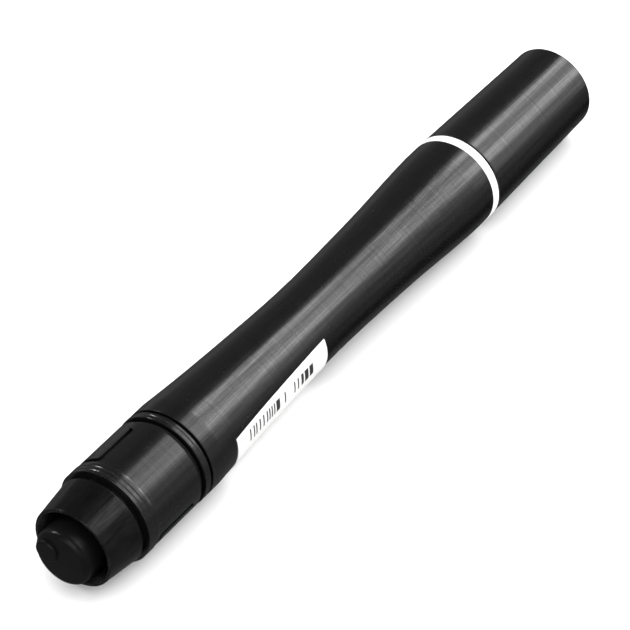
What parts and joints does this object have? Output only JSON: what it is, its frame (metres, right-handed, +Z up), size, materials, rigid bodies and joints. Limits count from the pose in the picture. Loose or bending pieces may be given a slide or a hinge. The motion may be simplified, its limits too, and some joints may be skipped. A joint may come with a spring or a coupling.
{
  "type": "counterfeit detector pen",
  "caption": "Waisted aluminium pocket ultraviolet light for checking banknotes, with a tail push button, a ridged screw cap with grip panels and a screwed lamp head.",
  "frame": {"origin": "middle of the pen's overall box, on the pen's axis", "axes": "+X along the pen's axis towards the light, +Z up with the pen lying down"},
  "size_m": [0.134, 0.0162, 0.0162],
  "materials": {
    "black_anodised": "satin black anodised, finely turned",
    "white_trim": "satin white band",
    "black_plastic": "fine satin moulding",
    "button_plastic": "smooth black moulding",
    "paper_label": "white paper sticker with a strip of plain bars",
    "seal_rubber": "black nitrile",
    "cell_steel": "nickel-plated can",
    "cell_jacket": "plain blue shrink sleeve",
    "washer_card": "pale fibre washer",
    "contact_brass": "plated contact",
    "spring_steel": "plated spring wire",
    "lamp_aluminium": "turned bare aluminium",
    "board_green": "circuit board with green mask",
    "resistor_body": "tan lacquer",
    "lamp_epoxy": "clear epoxy",
    "reflector_mirror": "vapour-plated cup",
    "lens_glass": "clear"
  },
  "bodies": {
    "barrel": {"barrel": "black_anodised", "rear_collar": "black_anodised", "trim_ring": "white_trim", "tail_seal": "seal_rubber", "head_seal": "seal_rubber", "label": "paper_label", "rear_cell": "cell_steel", "front_cell": "cell_steel", "rear_cell_jacket": "cell_jacket", "front_cell_jacket": "cell_jacket", "cell_washers": "washer_card"},
    "tail_spring": {"tail_spring": "spring_steel"},
    "tail_cap": {"tail_cap": "black_anodised", "grip_pads": "black_anodised", "button_bezel": "black_anodised", "switch_housing": "black_plastic", "switch_plate": "contact_brass", "switch_ring": "contact_brass", "return_spring": "spring_steel"},
    "button": {"push_button": "button_plastic", "plunger": "contact_brass"},
    "front_spring": {"front_spring": "spring_steel"},
    "head": {"head_shell": "black_anodised", "led_holder": "lamp_aluminium", "contact_insulator": "washer_card", "positive_contact": "contact_brass", "resistor": "resistor_body", "led_board": "board_green", "led_leads": "spring_steel", "uv_led": "lamp_epoxy", "reflector": "reflector_mirror", "lens_gasket": "seal_rubber", "lens": "lens_glass", "lens_ring": "black_anodised"}
  },
  "joints": [
    {"name": "tail_cap_travel", "type": "slide", "parent": "barrel", "child": "tail_spring", "axis": [-1, 0, 0], "range_m": [0, 0.00601]},
    {"name": "tail_cap_turn", "type": "hinge", "parent": "tail_spring", "child": "tail_cap", "pos_m": [-0.05, 0, 0], "axis": [-1, 0, 0], "range_deg": [0, 2160]},
    {"name": "button_press", "type": "slide", "parent": "tail_cap", "child": "button", "axis": [1, 0, 0], "range_m": [0, 0.0015], "deforming": ["return_spring"]},
    {"name": "head_travel", "type": "slide", "parent": "barrel", "child": "front_spring", "axis": [1, 0, 0], "range_m": [0, 0.00401]},
    {"name": "head_turn", "type": "hinge", "parent": "front_spring", "child": "head", "pos_m": [0.052, 0, 0], "axis": [1, 0, 0], "range_deg": [0, 1440]}
  ],
  "couplings": [
    {"joint": "tail_cap_travel", "follows": "tail_cap_turn", "m_per_rad": 0.00015915},
    {"joint": "head_travel", "follows": "head_turn", "m_per_rad": 0.00015915}
  ]
}
